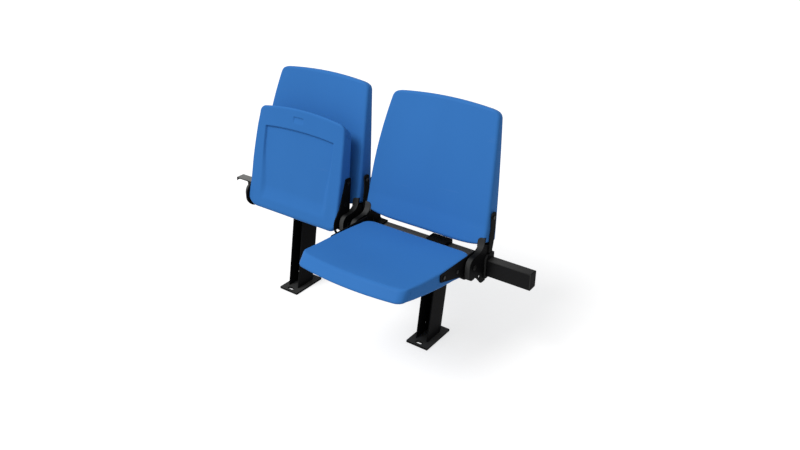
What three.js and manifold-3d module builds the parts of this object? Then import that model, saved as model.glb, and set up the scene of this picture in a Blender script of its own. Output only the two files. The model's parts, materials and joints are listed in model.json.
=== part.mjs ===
// Two tip-up stadium seats on a box beam, carried by two raked floor posts.
// Millimetres, Z up. The beam runs along X, the seats face -Y and the floor is Z = 0.
// The origin is on the floor under the middle of the whole unit.

import * as THREE from "three";
import { mergeVertices } from "three/addons/utils/BufferGeometryUtils.js";
import Module from "manifold-3d";

const wasm = await Module();
wasm.setup();

// Clearances shared by all pieces
const seat_gap = 0.3;
const running_clearance = 0.08;
const overrun = 5;

// Facets of round things
const round_sides = 24;
const pin_sides = 32;
const small_sides = 12;
const hexagon = 6;
const curve_steps = 5;
const corner_steps = 4;
const pan_long_steps = 8;
const pan_rows = 7;
const back_rows = 7;
const back_slice_steps = 8;
const slice_corner_angles = [0, 30, 60, 90];
const pan_edge_angles = [90, 60, 30];
const back_end_angles = [90, 68, 46, 22];
const disc_steps = 15;
const notch_steps = 7;
const curve_share = 0.49;
const corner_limit = 0.999;
const upward_limit = 0.9;

// Beam and its end cap
const beam_length = 1350;
const beam_depth = 40;
const beam_height = 60;
const beam_wall = 3;
const beam_corner = 4;
const beam_underside = 308;
const tongue_length = 64;
const tongue_lip = 20;
const tongue_lip_length = 26;
const cap_thickness = 3;
const cap_plug = 16;
const cap_wall = 2.5;

// Posts, heads and floor plates
const post_pitch = 623.5;
const post_width = 50;
const post_depth = 89;
const post_wall = 4;
const post_corner = 5;
const post_rake = 10.5;
const weep_radius = 4;
const weep_rise = 36;
const weep_setback = 9;
const head_width = 90;
const head_depth = 98;
const head_thickness = 6;
const plate_width = 90;
const plate_depth = 150;
const plate_thickness = 8;
const plate_corner = 2;
const slot_width = 13;
const slot_length = 28;
const slot_edge = 17;

// Hat clamp over the beam
const clamp_width = 90;
const clamp_crown_width = 78;
const clamp_crown = 13;
const clamp_wall = 5;
const clamp_foot = 20;
const clamp_corner = 5;
const bolt_radius = 4;
const bolt_head_radius = 7.5;
const bolt_head_height = 5.5;
const nut_height = 6.5;
const bolt_inset = 10;

// Seats on the beam: pitch, side bracket planes and pivot
const seat_pitch = 526;
const arm_outer = 247;
const arm_thickness = 22;
const cheek_thickness = 3.8;
const cheek_proud = 4.2;
const lip_width = 26;
const pivot_ahead = 76.5;
const pivot_above = 9;
const tip_angle = 94.5;

// Side bracket, measured from the pivot: setback behind it, rise above it and drop below it
const hub_front = 30;
const hub_rise = 35.5;
const hub_drop = 45.5;
const hub_round = 16;
const hub_recess = 5;
const hub_recess_radius = 52;
const hub_boss_radius = 17;
const hook_wall = 9;
const hook_sole = 5;
const hook_round = 5.4;
const hook_bend = 3.6;
const hook_edge = 2.7;
const hub_toe = 12.8;
const notch_setback = 11;
const notch_drop = 41;
const lug_front = 50;
const lug_back = 79;
const lug_drop = 85;
const lug_web = 3.5;
const lug_hole_radius = 5.5;
const lug_hole_setback = 36.5;
const lug_hole_drop = 51.5;
const lug_pocket_setback = 22;
const lug_pocket_drop = 45.5;
const sole_pocket = 10;
const neck_setback = 44;
const neck_rise = 40;
const lip_front = 59;
const lip_top = 78;
const lip_slant = 3;
const lip_foot = 46;
const lip_shoulder = 16;
const tab_front = 95;
const tab_foot = 88;
const tab_back = 122;
const tab_top = 157;
const tab_shoulder = 100;
const tab_round = 12;
const tab_heel = 106;
const tab_root = 12;
const tab_waist = 44;
const rim_proud = 6;
const rim_wall = 8.5;
const rim_rise = 13;
const rim_round = 10;
const rim_edge = 2;
const saddle_end = 187;
const saddle_thickness = 5.5;
const saddle_rise = 22;
const saddle_run = 14;

// Keeper behind the beam
const keeper_thickness = 6;
const keeper_side = 1;
const keeper_rise = 16;
const keeper_toe = 7;
const keeper_toe_length = 18;
const keeper_round = 2.4;
const keeper_edge = 1.2;
const keeper_bolt_rise = 8;
const keeper_bolt_length = 34;

// Pivot pin, bush, stop stud and hinge plate
const pin_radius = 6;
const pin_head_radius = 9;
const pin_head = 3;
const pin_tail = 1.5;
const bush_radius = 10;
const bush_flange_radius = 15;
const bush_flange = 1.5;
const hinge_thickness = 4;
const hinge_disc_radius = 49.5;
const hinge_disc_start = 65;
const hinge_reach = 162;
const hinge_end_top = 40;
const hinge_end_bottom = 12;
const hinge_waist_reach = 54;
const hinge_waist_drop = 20;
const hinge_top = 35;
const hinge_corner = 6;
const stud_radius = 5;
const stud_orbit = 36.5;
const stud_angle = 238;
const screw_radius = 3;
const screw_head_radius = 6.5;
const screw_head = 2.2;
const screw_length = 16;
const front_screw_reach = 144;
const front_screw_rise = 24;
const rear_screw_reach = 66.5;
const rear_screw_rise = 8;

// Pan, in its own frame: reach ahead of the pivot and rise above it
const pan_half_width = 218.5;
const pan_front_half_width = 208.5;
const pan_nose_reach = 374;
const pan_nose_rise = 22;
const pan_front_rake = 32;
const pan_front_reach = pan_nose_reach - pan_front_rake;
const pan_front_rise = 60.5;
const pan_tail_reach = -38;
const pan_tail_rise = 26;
const pan_heel_reach = -37;
const pan_heel_rise = -43.5;
const pan_wall = 4;
const pan_edge = 8;
const pan_nose_radius = 14;
const pan_front_radius = 10;
const pan_tail_radius = 14;
const pan_heel_radius = 22;
const pan_corner = 27;
const pan_heel_corner = 38;
const pan_bow = 20;
const pan_dish = 7;
const pan_taper_start = 150;
const pan_pocket_radius = 13;
const panel_half_width = 168;
const panel_fade = 80;
const panel_nose_land = 41;
const panel_arch = 2;
const panel_side_end = pan_nose_reach - panel_nose_land;
const panel_middle_end = panel_side_end + panel_arch;
const panel_depth = 6;
const panel_corner = 6;

// Backrest, standing on the brackets behind their lips
const back_height = 434;
const back_rake = 16;
const back_bottom_half_width = 247;
const back_middle_half_width = 235.5;
const back_top_half_width = 206.5;
const back_bottom_depth = 76;
const back_top_depth = 32;
const back_bow = 12;
const back_hollow = 8;
const back_top_arch = 8.5;
const back_bottom_arch = 18;
const back_corner = 25;
const back_edge = 11;
const back_wall = 4;
const back_ahead = 64;
const back_above = 54;
const back_screw_setback = 106;
const back_screw_rise = 139;

// Places worked out from the sizes above
const rake_slope = Math.tan(THREE.MathUtils.degToRad(post_rake));
const beam_middle = beam_underside * rake_slope;
const beam_front = beam_middle - beam_depth / 2;
const beam_back = beam_middle + beam_depth / 2;
const beam_top = beam_underside + beam_height;
const pivot_y = beam_front - pivot_ahead;
const pivot_z = beam_top + pivot_above;
const arm_inner = arm_outer - arm_thickness;
const hinge_outer = arm_inner - seat_gap - bush_flange;
const hinge_inner = hinge_outer - hinge_thickness;
const hook_front = pivot_ahead - seat_gap;
const hook_back = pivot_ahead + beam_depth;
const hook_top = -pivot_above + seat_gap;
const hook_bottom = -pivot_above - beam_height - seat_gap;
const hook_underside = hook_bottom - hook_sole;
const back_lean = THREE.MathUtils.degToRad(back_rake);

const materials = {
  blue: new THREE.MeshStandardMaterial({ color: 0x2f6cb4, roughness: 0.45, metalness: 0 }),
  steel: new THREE.MeshStandardMaterial({ color: 0x1c1c1d, roughness: 0.5, metalness: 0.3 }),
  bracket: new THREE.MeshStandardMaterial({ color: 0x222223, roughness: 0.55, metalness: 0 }),
  zinc: new THREE.MeshStandardMaterial({ color: 0x4a4a4c, roughness: 0.4, metalness: 0.8 }),
  nylon: new THREE.MeshStandardMaterial({ color: 0x8c8c8a, roughness: 0.5, metalness: 0 }),
};

const unit = new THREE.Group();

// A closed geometry as a solid that can be joined and cut
function solidOf(geometry) {
  const bare = geometry.clone();
  bare.deleteAttribute("normal");
  bare.deleteAttribute("uv");
  const welded = mergeVertices(bare);
  const vertProperties = new Float32Array(welded.attributes.position.array);
  const triVerts = new Uint32Array(welded.index.array);
  return new wasm.Manifold(new wasm.Mesh({ numProp: 3, vertProperties, triVerts }));
}

// A solid as a geometry for a mesh
function geometryOf(solid) {
  const mesh = solid.getMesh();
  const geometry = new THREE.BufferGeometry();
  geometry.setAttribute("position", new THREE.BufferAttribute(mesh.vertProperties, 3));
  geometry.setIndex(new THREE.BufferAttribute(mesh.triVerts, 1));
  geometry.computeVertexNormals();
  return geometry;
}

function place(group, name, geometry, material) {
  const mesh = new THREE.Mesh(geometry, materials[material]);
  mesh.name = name;
  group.add(mesh);
  return mesh;
}

// Box between two values on each axis, given in either order
function block([x0, x1], [y0, y1], [z0, z1]) {
  const geometry = new THREE.BoxGeometry(Math.abs(x1 - x0), Math.abs(y1 - y0), Math.abs(z1 - z0));
  geometry.translate((x0 + x1) / 2, (y0 + y1) / 2, (z0 + z1) / 2);
  return solidOf(geometry);
}

// Round or many-sided bar along one axis
function bar(axis, radius, [from, to], [a, b], sides = round_sides) {
  const geometry = new THREE.CylinderGeometry(radius, radius, Math.abs(to - from), sides);
  const middle = (from + to) / 2;
  if (axis === "x") geometry.rotateZ(Math.PI / 2).translate(middle, a, b);
  if (axis === "y") geometry.translate(a, middle, b);
  if (axis === "z") geometry.rotateX(Math.PI / 2).translate(a, b, middle);
  return solidOf(geometry);
}

// Closed outline whose corners, given as [x, y, radius], are rounded by one curve each
function outline(corners) {
  const shape = new THREE.Shape();
  const count = corners.length;
  corners.forEach(([x, y, radius], i) => {
    const corner = new THREE.Vector2(x, y);
    const ends = [corners[(i + count - 1) % count], corners[(i + 1) % count]].map((end) => {
      const away = new THREE.Vector2(end[0], end[1]).sub(corner);
      return corner.clone().add(away.setLength(Math.min(radius, away.length() * curve_share)));
    });
    if (i === 0) shape.moveTo(ends[0].x, ends[0].y);
    else shape.lineTo(ends[0].x, ends[0].y);
    if (radius > 0) shape.quadraticCurveTo(x, y, ends[1].x, ends[1].y);
  });
  shape.closePath();
  return shape;
}

// Flat outline in Y and Z made thick along X
function sheet(shape, [x0, x1]) {
  const low = Math.min(x0, x1);
  const settings = { depth: Math.abs(x1 - x0), bevelEnabled: false, curveSegments: curve_steps };
  const geometry = new THREE.ExtrudeGeometry(shape, settings);
  const turn = new THREE.Matrix4().set(0, 0, 1, low, 1, 0, 0, 0, 0, 1, 0, 0, 0, 0, 0, 1);
  return solidOf(geometry.applyMatrix4(turn));
}

// Flat outline in X and Z made thick along Y
function plank(shape, [y0, y1]) {
  const settings = { depth: y1 - y0, bevelEnabled: false, curveSegments: curve_steps };
  return solidOf(new THREE.ExtrudeGeometry(shape, settings).rotateX(Math.PI / 2).translate(0, y1, 0));
}

// Flat outline in X and Y made thick along Z
function slab(shape, [z0, z1]) {
  const settings = { depth: z1 - z0, bevelEnabled: false, curveSegments: curve_steps };
  return solidOf(new THREE.ExtrudeGeometry(shape, settings).translate(0, 0, z0));
}

function rectangle([x0, x1], [y0, y1], radius) {
  return outline([[x0, y0, radius], [x1, y0, radius], [x1, y1, radius], [x0, y1, radius]]);
}

// Box tube and its solid core, as outlines in Y and Z
function tubeOutline(skin) {
  const y = [beam_front + skin, beam_back - skin];
  const z = [beam_underside + skin, beam_top - skin];
  return rectangle(y, z, Math.max(beam_corner - skin, beam_corner / 4));
}

// Closed skin over a grid of rings. Each end ring is closed by strips between points that face each
// other, whose places in the ring add up to the given sum.
function skinOver(rings, facing_sum) {
  const count = rings[0].length;
  const index = [];
  for (let i = 0; i < rings.length - 1; i += 1) {
    for (let j = 0; j < count; j += 1) {
      const a = i * count + j;
      const b = i * count + ((j + 1) % count);
      index.push(a, b, a + count, b, b + count, a + count);
    }
  }
  [0, rings.length - 1].forEach((ring, end) => {
    const at = (j) => ring * count + ((j + count) % count);
    for (let j = -(count - facing_sum - 1) / 2; j < (facing_sum - 1) / 2; j += 1) {
      const quad = [at(j), at(j + 1), at(facing_sum - j - 1), at(facing_sum - j)];
      const [p, q, r, t] = end === 0 ? quad.reverse() : quad;
      index.push(p, q, r, p, r, t);
    }
  });
  const geometry = new THREE.BufferGeometry().setFromPoints(rings.flat());
  geometry.setIndex(index);
  return solidOf(geometry);
}

// Quarter-round inset of a rounded edge at a distance from its end
function edgeInset(distance, radius) {
  if (distance >= radius) return 0;
  return radius - Math.sqrt(radius ** 2 - (radius - distance) ** 2);
}

// Loop of points on an outline, with its two long lines cut into steps, moved inwards by a skin
function loopOf(shape, long, long_steps, skin) {
  const loop = [];
  shape.curves.forEach((curve) => {
    const line_steps = curve.getLength() > long ? long_steps : 1;
    const steps = curve.isLineCurve ? line_steps : corner_steps;
    curve.getPoints(steps).slice(1).forEach((point) => loop.push(point));
  });
  return loop.map((point, i) => {
    const before = loop[(i + loop.length - 1) % loop.length];
    const after = loop[(i + 1) % loop.length];
    const along = after.clone().sub(before).normalize();
    return { point: new THREE.Vector2(point.x - along.y * skin, point.y + along.x * skin), along };
  });
}

function beamParts() {
  const tube = sheet(tubeOutline(0), [-beam_length / 2, beam_length / 2 - cap_thickness - seat_gap]);
  const hollow = sheet(tubeOutline(beam_wall), [-beam_length / 2 - overrun, beam_length / 2 + overrun]);
  const end = -beam_length / 2;
  const notch = outline([
    [end - overrun, beam_underside - overrun, 0],
    [end + tongue_length, beam_underside - overrun, 0],
    [end + tongue_length, beam_top - beam_wall - beam_corner / 4, beam_corner],
    [end + tongue_lip_length / 2, beam_top - beam_wall - beam_corner / 4, tongue_lip_length / 2],
    [end - overrun, beam_top - tongue_lip, 0],
  ]);
  const cut = plank(notch, [beam_front - overrun, beam_back + overrun]);
  place(unit, "beam", geometryOf(tube.subtract(hollow).subtract(cut)), "steel");
  const face = sheet(tubeOutline(0), [beam_length / 2 - cap_thickness, beam_length / 2]);
  const plug = sheet(
    tubeOutline(beam_wall + seat_gap),
    [beam_length / 2 - cap_plug, beam_length / 2 - cap_thickness / 2],
  );
  const core = sheet(
    tubeOutline(beam_wall + seat_gap + cap_wall),
    [beam_length / 2 - cap_plug - overrun, beam_length / 2 - cap_thickness],
  );
  place(unit, "beam_end_cap", geometryOf(face.add(plug).subtract(core)), "bracket");
}

// Channel post, leaned back by a shear so that both its ends stay level, with its head plate and weld nuts
function post(x) {
  const half = post_width / 2;
  const deep = post_depth / 2;
  const section = outline([
    [half, -deep, 0],
    [half, deep, post_corner],
    [-half, deep, post_corner],
    [-half, -deep, 0],
    [-half + post_wall, -deep, 0],
    [-half + post_wall, deep - post_wall, 0],
    [half - post_wall, deep - post_wall, 0],
    [half - post_wall, -deep, 0],
  ]);
  const foot = plate_thickness + seat_gap;
  const head = beam_underside - seat_gap - head_thickness;
  const height = head + head_thickness / 2 - foot;
  const settings = { depth: height, bevelEnabled: false, curveSegments: curve_steps };
  const geometry = new THREE.ExtrudeGeometry(section, settings).translate(0, 0, foot);
  geometry.applyMatrix4(new THREE.Matrix4().set(1, 0, 0, x, 0, 1, rake_slope, 0, 0, 0, 1, 0, 0, 0, 0, 1));
  const weep_place = [weep_setback + weep_rise * rake_slope, foot + weep_rise];
  const weep = bar("x", weep_radius, [x - half - overrun, x], weep_place);
  const plate = slab(
    rectangle(
      [x - head_width / 2, x + head_width / 2],
      [beam_middle - head_depth / 2, beam_middle + head_depth / 2],
      plate_corner,
    ),
    [head, head + head_thickness],
  );
  const nut = [head - nut_height, head + head_thickness / 2];
  const nuts = boltPlaces(x).map((at) => bar("z", bolt_head_radius, nut, at, hexagon));
  const through = [head - nut_height - overrun, beam_top];
  const holes = boltPlaces(x).map((at) => bar("z", bolt_radius + seat_gap, through, at));
  const body = nuts.reduce((made, part) => made.add(part), solidOf(geometry).subtract(weep).add(plate));
  return holes.reduce((made, hole) => made.subtract(hole), body);
}

function boltPlaces(x) {
  const across = clamp_width / 2 - bolt_inset;
  const along = beam_depth / 2 + seat_gap + clamp_wall + clamp_foot / 2 + clamp_wall / 4;
  return [[-1, -1], [1, -1], [1, 1], [-1, 1]].map(([i, j]) => [x + i * across, beam_middle + j * along]);
}

function basePlate(x) {
  const shape = rectangle(
    [x - plate_width / 2, x + plate_width / 2],
    [-plate_depth / 2, plate_depth / 2],
    plate_corner,
  );
  const slots = [-1, 1].map((end) => {
    const y = end * (plate_depth / 2 - slot_edge);
    const straight = slot_length - slot_width;
    const sides = block(
      [x - straight / 2, x + straight / 2],
      [y - slot_width / 2, y + slot_width / 2],
      [-overrun, plate_thickness + overrun],
    );
    return [-1, 1].reduce((cut, i) => {
      const round = [x + (i * straight) / 2, y];
      return cut.add(bar("z", slot_width / 2, [-overrun, plate_thickness + overrun], round));
    }, sides);
  });
  return slots.reduce((body, slot) => body.subtract(slot), slab(shape, [0, plate_thickness]));
}

// Hat section over the beam: crown, two cheeks and two bolted feet
function beamClamp(x) {
  const inner = beam_depth / 2 + seat_gap;
  const outer = inner + clamp_wall;
  const low = beam_underside;
  const crown = beam_top + clamp_crown;
  const section = outline([
    [beam_middle - outer - clamp_foot, low, 0],
    [beam_middle - inner, low, 0],
    [beam_middle - inner, beam_top + seat_gap, clamp_corner / 2],
    [beam_middle + inner, beam_top + seat_gap, clamp_corner / 2],
    [beam_middle + inner, low, 0],
    [beam_middle + outer + clamp_foot, low, 0],
    [beam_middle + outer + clamp_foot, low + clamp_wall, 0],
    [beam_middle + outer, low + clamp_wall, clamp_corner],
    [beam_middle + outer, crown, clamp_corner],
    [beam_middle - outer, crown, clamp_corner],
    [beam_middle - outer, low + clamp_wall, clamp_corner],
    [beam_middle - outer - clamp_foot, low + clamp_wall, 0],
  ]);
  const hat = sheet(section, [x - clamp_width / 2, x + clamp_width / 2]);
  const holes = boltPlaces(x).map((at) => {
    return bar("z", bolt_radius + seat_gap, [low - overrun, low + clamp_wall + overrun], at);
  });
  const depth = [beam_middle - outer - clamp_foot, beam_middle + outer + clamp_foot];
  const flanks = [-1, 1].map((end) => {
    const reach = [x + (end * clamp_crown_width) / 2, x + end * (clamp_width / 2 + overrun)];
    return block(reach, depth, [low + clamp_wall, crown + overrun]);
  });
  return [...holes, ...flanks].reduce((body, cut) => body.subtract(cut), hat);
}

// Hexagon bolt down through a clamp foot into the weld nut under the post head
function clampBolt(at) {
  const top = beam_underside + clamp_wall + seat_gap;
  const tip = beam_underside - head_thickness - nut_height - overrun;
  const head = bar("z", bolt_head_radius, [top, top + bolt_head_height], at, hexagon);
  return head.add(bar("z", bolt_radius, [tip, top + bolt_head_height / 2], at, small_sides));
}

function standParts() {
  beamParts();
  [["left", -1], ["right", 1]].forEach(([name, side]) => {
    const x = (side * post_pitch) / 2;
    place(unit, `${name}_post`, geometryOf(post(x)), "steel");
    place(unit, `${name}_base_plate`, geometryOf(basePlate(x)), "steel");
    place(unit, `${name}_beam_clamp`, geometryOf(beamClamp(x)), "steel");
    boltPlaces(x).forEach((at, i) => {
      place(unit, `${name}_clamp_bolt_${i + 1}`, geometryOf(clampBolt(at)), "zinc");
    });
  });
}

// Side view of a bracket, as setback behind the pivot and rise above it
function armOutline() {
  return outline([
    [-hub_front, -hub_drop + hub_round, hub_round],
    [-hub_front + hub_toe, -hub_drop, hub_round],
    [notch_setback - hook_round, -hub_drop, hook_bend],
    [notch_setback, -notch_drop, hook_edge],
    [lug_front, -lug_drop, hook_wall],
    [lug_back, -lug_drop, hook_bend],
    [hook_front, hook_underside, 0],
    [hook_back, hook_underside, hook_edge],
    [hook_back, hook_top + keeper_rise, hook_edge],
    [tab_back - hook_bend, tab_waist, tab_waist],
    [tab_back, tab_shoulder, tab_waist],
    [tab_back, tab_top, tab_round],
    [tab_front, tab_top, tab_round],
    [tab_front, tab_shoulder, hook_wall],
    [tab_foot, lip_top, hook_bend],
    [lip_front + lip_slant, lip_top, hook_round],
    [lip_front, lip_foot + hook_wall, hub_round],
    [neck_setback, neck_rise, hub_round],
    [hub_round, hub_rise, hub_round],
    [-hub_front + hub_round, hub_rise, hub_round],
    [-hub_front, hub_round, hub_round],
  ]);
}

// Tab beside the backrest, which stands proud of the bracket's outer face
function tabOutline() {
  return outline([
    [tab_foot, tab_root, hook_round],
    [tab_heel, tab_root, hook_round],
    [tab_back - hook_bend * 2, tab_waist, hook_round],
    [tab_back, tab_shoulder, hook_round],
    [tab_back, tab_top, tab_round],
    [tab_front, tab_top, tab_round],
    [tab_front, tab_shoulder, hook_wall],
    [tab_foot, lip_top, hook_wall],
  ]);
}

// Room for the backrest: above its raked underside and behind its raked front
function backrestRoom() {
  const gap = seat_gap;
  const along = new THREE.Vector2(Math.cos(back_lean), -Math.sin(back_lean));
  const up = new THREE.Vector2(Math.sin(back_lean), Math.cos(back_lean));
  const foot = new THREE.Vector2(back_ahead, back_above);
  const corner = foot.addScaledVector(along, -gap).addScaledVector(up, -gap);
  const rear = corner.clone().addScaledVector(along, tab_top);
  const far = rear.clone().addScaledVector(up, tab_top);
  const front = corner.clone().addScaledVector(up, tab_top);
  return outline([corner, rear, far, front].map((point) => [point.x, point.y, 0]));
}

// Lip in front of the backrest's foot, wider than the bracket
function lipOutline() {
  const slope = Math.tan(back_lean);
  const behind = (rise) => back_ahead - seat_gap * 2 + (rise - back_above) * slope;
  return outline([
    [lip_front - lip_slant, lip_foot, lip_slant],
    [behind(lip_foot), lip_foot, 0],
    [behind(lip_top), lip_top, lip_slant],
    [lip_front + lip_slant, lip_top, hook_round],
    [lip_front, lip_foot + hook_wall, hub_round],
  ]);
}

// Rounded inner shoulder cut off the lip, as distance from the seat's middle and rise
function shoulderOutline(side) {
  const edge = side * (arm_outer - lip_width);
  const beyond = edge - side * overrun;
  const into = edge + side * lip_shoulder;
  const shape = new THREE.Shape();
  shape.moveTo(beyond, lip_top - lip_shoulder);
  shape.lineTo(edge, lip_top - lip_shoulder);
  shape.quadraticCurveTo(edge, lip_top, into, lip_top);
  shape.lineTo(into, lip_top + overrun);
  shape.lineTo(beyond, lip_top + overrun);
  shape.closePath();
  return shape;
}

// Saddle on the beam beside the bracket, rising to it in a hollow curve
function saddleOutline(side) {
  const root = side * (arm_inner + seat_gap);
  const shape = new THREE.Shape();
  shape.moveTo(root, hook_top);
  shape.lineTo(root, hook_top + saddle_rise);
  shape.lineTo(side * (arm_inner - seat_gap), hook_top + saddle_rise);
  const foot = hook_top + saddle_thickness + seat_gap;
  shape.quadraticCurveTo(side * (arm_inner - seat_gap), foot, side * (arm_inner - saddle_run), foot);
  shape.lineTo(side * saddle_end, hook_top + saddle_thickness);
  shape.lineTo(side * saddle_end, hook_top);
  shape.closePath();
  return shape;
}

// Raised rim round the beam on the bracket's outer face
function rimOutline() {
  return outline([
    [hook_front - rim_wall, hook_underside, hook_sole],
    [hook_back, hook_underside, rim_edge],
    [hook_back, hook_top + keeper_rise, rim_edge],
    [hook_back - rim_round * 2, rim_rise, rim_round],
    [hook_front + rim_round / 2, rim_rise, rim_round],
    [hook_front - rim_wall, 0, rim_round],
  ]);
}

// Stop stud's place on its circle round the pivot, as depth behind and rise above
function studPlace() {
  const turn = THREE.MathUtils.degToRad(stud_angle);
  return [-stud_orbit * Math.cos(turn), stud_orbit * Math.sin(turn)];
}

function arm(side) {
  const outer = side * arm_outer;
  const inner = side * arm_inner;
  const cheek_outer = side * (arm_outer + cheek_proud);
  const cheek_inner = cheek_outer - side * cheek_thickness;
  const lip_inner = side * (arm_outer - lip_width);
  const rim_outer = side * (arm_outer + rim_proud);
  const beyond = side * (arm_outer + rim_proud + overrun);
  const within = side * (saddle_end - overrun);
  const saddle = plank(saddleOutline(side), [hook_front, hook_back]);
  const shoulder = plank(shoulderOutline(side), [hub_round, back_ahead + lip_width]);
  const lug_pocket = block(
    [within, side * (arm_outer - lug_web)],
    [lug_pocket_setback, hook_front + seat_gap],
    [-lug_pocket_drop, -lug_drop - overrun],
  );
  const sole_cut = block(
    [within, side * (arm_inner + sole_pocket)],
    [hook_front, hook_back + overrun],
    [hook_bottom, -lug_drop - overrun],
  );
  const deep = [inner - side * overrun, inner + side * hub_recess];
  const recess = bar("x", hub_recess_radius, deep, [0, 0]).subtract(bar("x", hub_boss_radius, deep, [0, 0]));
  const body = sheet(armOutline(), [inner, outer])
    .subtract(recess)
    .add(sheet(lipOutline(), [lip_inner, outer]))
    .subtract(shoulder)
    .add(sheet(tabOutline(), [outer - side * cheek_thickness, cheek_outer]))
    .subtract(sheet(backrestRoom(), [within, cheek_inner]))
    .add(sheet(rimOutline(), [outer, rim_outer]))
    .add(saddle)
    .subtract(backForm(-seat_gap))
    .subtract(lug_pocket)
    .subtract(sole_cut)
    .subtract(block([within, beyond], [hook_front, hook_back + overrun], [hook_bottom, hook_top]));
  const [stud_y, stud_z] = studPlace();
  const stud_end = outer - (side * arm_thickness) / 4;
  const cuts = [
    bar("x", pin_radius + seat_gap, [within, beyond], [0, 0], pin_sides),
    bar("x", lug_hole_radius, [within, beyond], [lug_hole_setback, -lug_hole_drop], small_sides),
    bar("x", stud_radius + seat_gap, [within, stud_end], [stud_y, stud_z], small_sides),
    bar("x", screw_radius + seat_gap, [within, beyond], [back_screw_setback, back_screw_rise], small_sides),
    bar(
      "y",
      bolt_radius + seat_gap,
      [hook_back - keeper_bolt_length, hook_back + overrun],
      [(outer + inner) / 2, hook_top + keeper_bolt_rise],
      small_sides,
    ),
  ];
  return cuts.reduce((made, cut) => made.subtract(cut), body);
}

// Keeper plate with a toe under the bracket's hook
function keeper(side) {
  const front = hook_back + seat_gap;
  const back = front + keeper_thickness;
  const low = hook_underside - seat_gap - keeper_toe;
  const section = outline([
    [front, hook_top + keeper_rise, keeper_edge],
    [front, low + keeper_toe, 0],
    [front - keeper_toe_length, low + keeper_toe, keeper_edge],
    [front - keeper_toe_length, low, keeper_round],
    [back, low, keeper_round * 2],
    [back, hook_top + keeper_rise, keeper_round],
  ]);
  const span = [side * (arm_inner + keeper_side), side * (arm_outer + rim_proud - keeper_side)];
  const plate = sheet(section, span);
  const middle = (side * (arm_inner + arm_outer)) / 2;
  const hole = [middle, hook_top + keeper_bolt_rise];
  return plate.subtract(bar("y", bolt_radius + seat_gap, [front - overrun, back + overrun], hole, small_sides));
}

function keeperBolt(side) {
  const back = hook_back + seat_gap * 2 + keeper_thickness;
  const at = [(side * (arm_inner + arm_outer)) / 2, hook_top + keeper_bolt_rise];
  const head = bar("y", bolt_head_radius, [back, back + bolt_head_height], at, hexagon);
  const tip = hook_back - keeper_bolt_length + seat_gap * 2;
  return head.add(bar("y", bolt_radius, [tip, back + bolt_head_height / 2], at, small_sides));
}

// Headed pin through the bracket, spread at its inner end behind the hinge plate
function pivotPin(side) {
  const head = side * (arm_outer + seat_gap);
  const tail = side * (hinge_inner - seat_gap);
  const shank = bar("x", pin_radius, [tail - side * pin_tail, head + (side * pin_head) / 2], [0, 0], pin_sides);
  return shank
    .add(bar("x", pin_head_radius, [head, head + side * pin_head], [0, 0]))
    .add(bar("x", pin_head_radius, [tail - side * pin_tail, tail], [0, 0]));
}

function stopStud(side) {
  const outer = side * (arm_outer - arm_thickness / 4 - seat_gap * 2);
  return bar("x", stud_radius, [side * hinge_inner, outer], studPlace(), small_sides);
}

// Half-width of the pan: straight beside the hinge, tapered ahead, rounded off towards its leading edge
function panHalfWidth(reach, rise) {
  const run = (reach - pan_taper_start) / (pan_front_reach - pan_taper_start);
  const taper = (pan_half_width - pan_front_half_width) * Math.max(run, 0);
  const slant = (pan_nose_reach - pan_front_reach) / (pan_front_rise - pan_nose_rise);
  const lead = pan_nose_reach - slant * Math.max(rise - pan_nose_rise, 0);
  const into = Math.max(reach - (lead - pan_corner), 0);
  const tail = Math.max(pan_tail_reach + pan_heel_corner - reach, 0);
  return pan_half_width - taper - cornerLoss(into, pan_corner) - cornerLoss(tail, pan_heel_corner);
}

function cornerLoss(into, radius) {
  const part = Math.min(into / radius, corner_limit);
  return radius * (1 - Math.sqrt(1 - part ** 2));
}

// Side view of the pan, as reach ahead of the pivot and rise above it
function panOutline() {
  return outline([
    [pan_heel_reach, pan_heel_rise, pan_heel_radius],
    [pan_nose_reach, pan_nose_rise, pan_nose_radius],
    [pan_front_reach, pan_front_rise, pan_front_radius],
    [pan_tail_reach, pan_tail_rise, pan_tail_radius],
  ]);
}

// Pan body: the side view carried across, with rounded sides, a bowed nose and a dished top
function panForm(skin) {
  const edge = Math.max(pan_edge - skin, pan_edge / 4);
  const rows = [];
  const bulgeAt = (angle) => Math.sin(THREE.MathUtils.degToRad(angle));
  pan_edge_angles.forEach((angle) => rows.push([-1, -bulgeAt(angle), angle]));
  for (let i = 0; i <= pan_rows; i += 1) rows.push([(2 * i) / pan_rows - 1, 0, 0]);
  [...pan_edge_angles].reverse().forEach((angle) => rows.push([1, bulgeAt(angle), angle]));
  const rings = rows.map(([share, bulge, angle]) => {
    const inset = skin + edge * (1 - Math.cos(THREE.MathUtils.degToRad(angle)));
    return loopOf(panOutline(), pan_nose_reach / 2, pan_long_steps, inset).map(({ point, along }) => {
      const half = panHalfWidth(point.x, point.y) - skin - edge;
      const x = share * half + bulge * edge;
      const across = x / panHalfWidth(point.x, point.y);
      const nose = THREE.MathUtils.smoothstep(point.x, pan_nose_reach / 2, pan_nose_reach);
      const seat = Math.sin(Math.PI * THREE.MathUtils.clamp(point.x / pan_front_reach, 0, 1)) ** 2;
      const top = along.x < -upward_limit ? 1 : 0;
      const sink = top * seat * pan_dish * (1 - across ** 2);
      return new THREE.Vector3(x, -(point.x - pan_bow * nose * across ** 2), point.y - sink);
    });
  });
  return skinOver(rings.reverse(), rings[0].length - corner_steps);
}

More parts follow.
